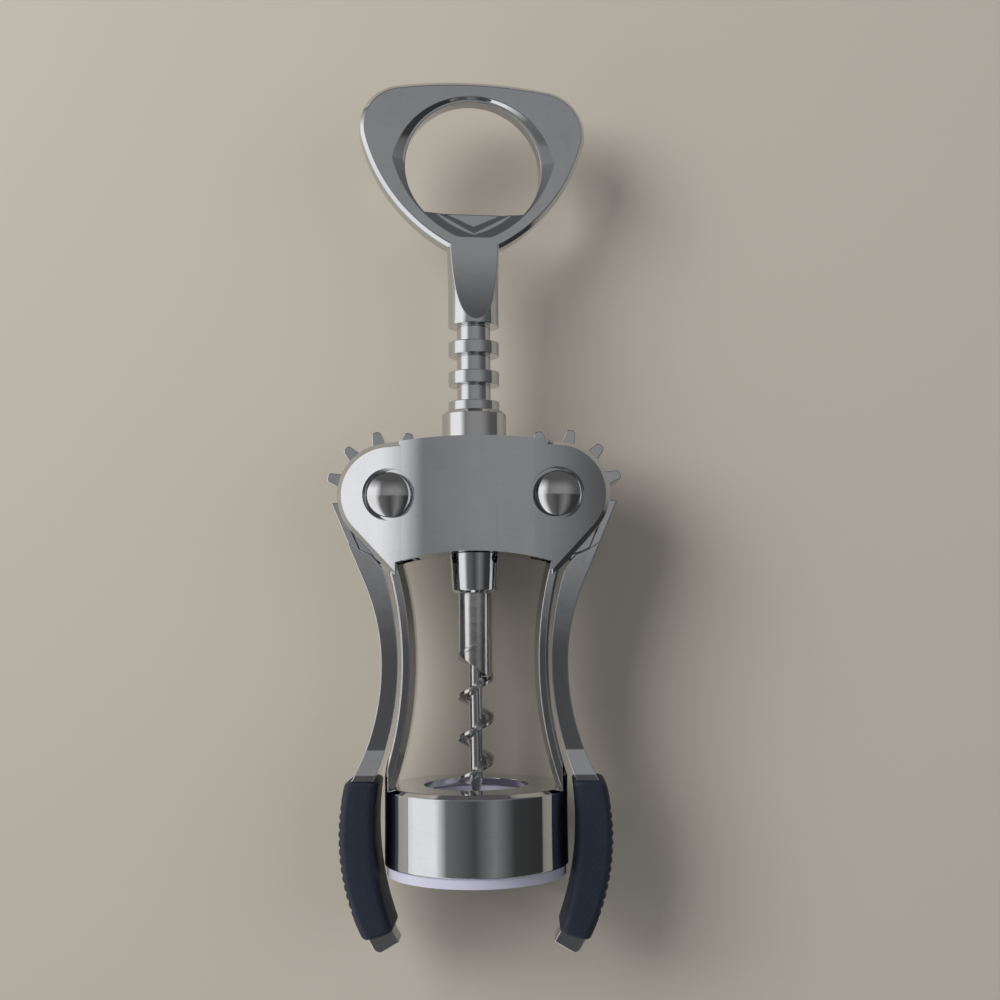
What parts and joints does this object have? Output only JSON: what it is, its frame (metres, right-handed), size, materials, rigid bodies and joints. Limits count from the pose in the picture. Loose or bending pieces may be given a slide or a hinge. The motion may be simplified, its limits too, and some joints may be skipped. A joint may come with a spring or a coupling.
{
  "type": "wing corkscrew",
  "caption": "Wing corkscrew: a bell for the bottle neck, two toothed wings with moulded grips that mesh with a ringed rack, a worm below it and a cap opener handle.",
  "frame": {"origin": "centre of the bell's mouth, in the plane of the bell's metal rim", "axes": "+Z along the spindle towards the handle, X across the two wings, -Y towards the front with the domed rivet heads"},
  "size_m": [0.0602, 0.037, 0.179],
  "materials": {
    "frame_chrome": "bright nickel and chrome plating on cast zinc",
    "worm_steel": "bright plated steel",
    "liner_plastic": "smooth pale plastic",
    "grip_plastic": "satin black moulding"
  },
  "bodies": {
    "frame": {"frame": "frame_chrome", "bell_liner": "liner_plastic", "left_rivet": "frame_chrome", "right_rivet": "frame_chrome"},
    "guide_bush": {"guide_bush": "frame_chrome"},
    "spindle": {"opener_spindle": "frame_chrome", "worm": "worm_steel"},
    "left_wing": {"left_wing": "frame_chrome", "left_grip": "grip_plastic"},
    "right_wing": {"right_wing": "frame_chrome", "right_grip": "grip_plastic"}
  },
  "joints": [
    {"name": "spindle_spin", "type": "hinge", "parent": "frame", "child": "guide_bush", "pos_m": [0, 0, 0.088], "axis": [0, 0, 1], "continuous": true},
    {"name": "spindle_slide", "type": "slide", "parent": "guide_bush", "child": "spindle", "axis": [0, 0, -1], "range_m": [0, 0.03125]},
    {"name": "left_wing_swing", "type": "hinge", "parent": "frame", "child": "left_wing", "pos_m": [-0.0171, 0, 0.0738], "axis": [0, 1, 0], "range_deg": [0, 150.01]},
    {"name": "right_wing_swing", "type": "hinge", "parent": "frame", "child": "right_wing", "pos_m": [0.0171, 0, 0.0738], "axis": [0, -1, 0], "range_deg": [0, 150.01]}
  ],
  "couplings": [
    {"joint": "left_wing_swing", "follows": "spindle_slide", "rad_per_m": 83.776},
    {"joint": "right_wing_swing", "follows": "spindle_slide", "rad_per_m": 83.776}
  ]
}
